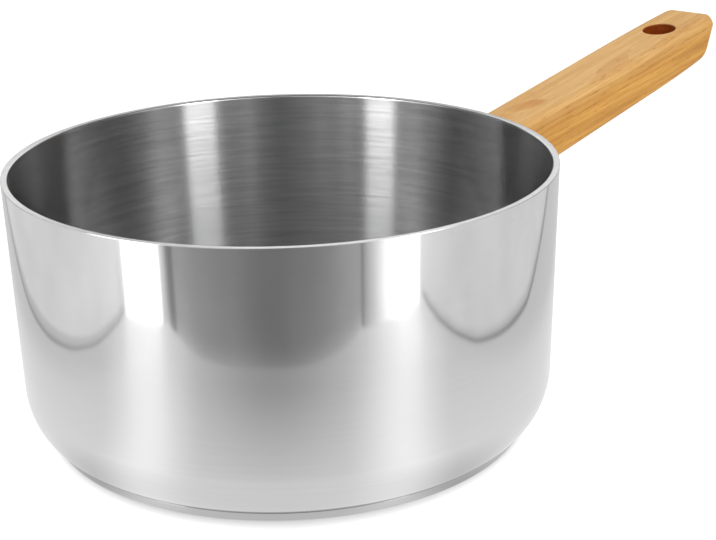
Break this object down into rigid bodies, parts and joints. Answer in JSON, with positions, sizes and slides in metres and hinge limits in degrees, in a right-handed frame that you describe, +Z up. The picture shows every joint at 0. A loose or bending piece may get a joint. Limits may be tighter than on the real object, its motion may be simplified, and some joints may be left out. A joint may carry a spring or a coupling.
{
  "type": "saucepan",
  "caption": "Straight-sided stainless steel saucepan with a capped flat base, a ground rim and a tapered oak handle with a hanging hole, screwed to a welded bracket.",
  "frame": {"origin": "centre of the flat face the pan stands on", "axes": "+Z up along the axis of the vessel, +X from that axis out along the handle"},
  "size_m": [0.3787, 0.2, 0.112],
  "materials": {
    "polished_steel": "mirror polished outside, finely brushed round the inside, ground rim",
    "aluminium_core": "rolled",
    "base_steel": "circular brushed underside",
    "bracket_steel": "satin, blasted after casting",
    "oak": "oiled, straight grain with open pores",
    "screw_steel": "plain stainless fasteners"
  },
  "bodies": {
    "root": {"pan_body": "polished_steel", "base_core": "aluminium_core", "base_cap": "base_steel", "handle_bracket": "bracket_steel", "handle": "oak", "front_screw": "screw_steel", "rear_screw": "screw_steel", "front_washer": "screw_steel", "rear_washer": "screw_steel"}
  },
  "joints": []
}
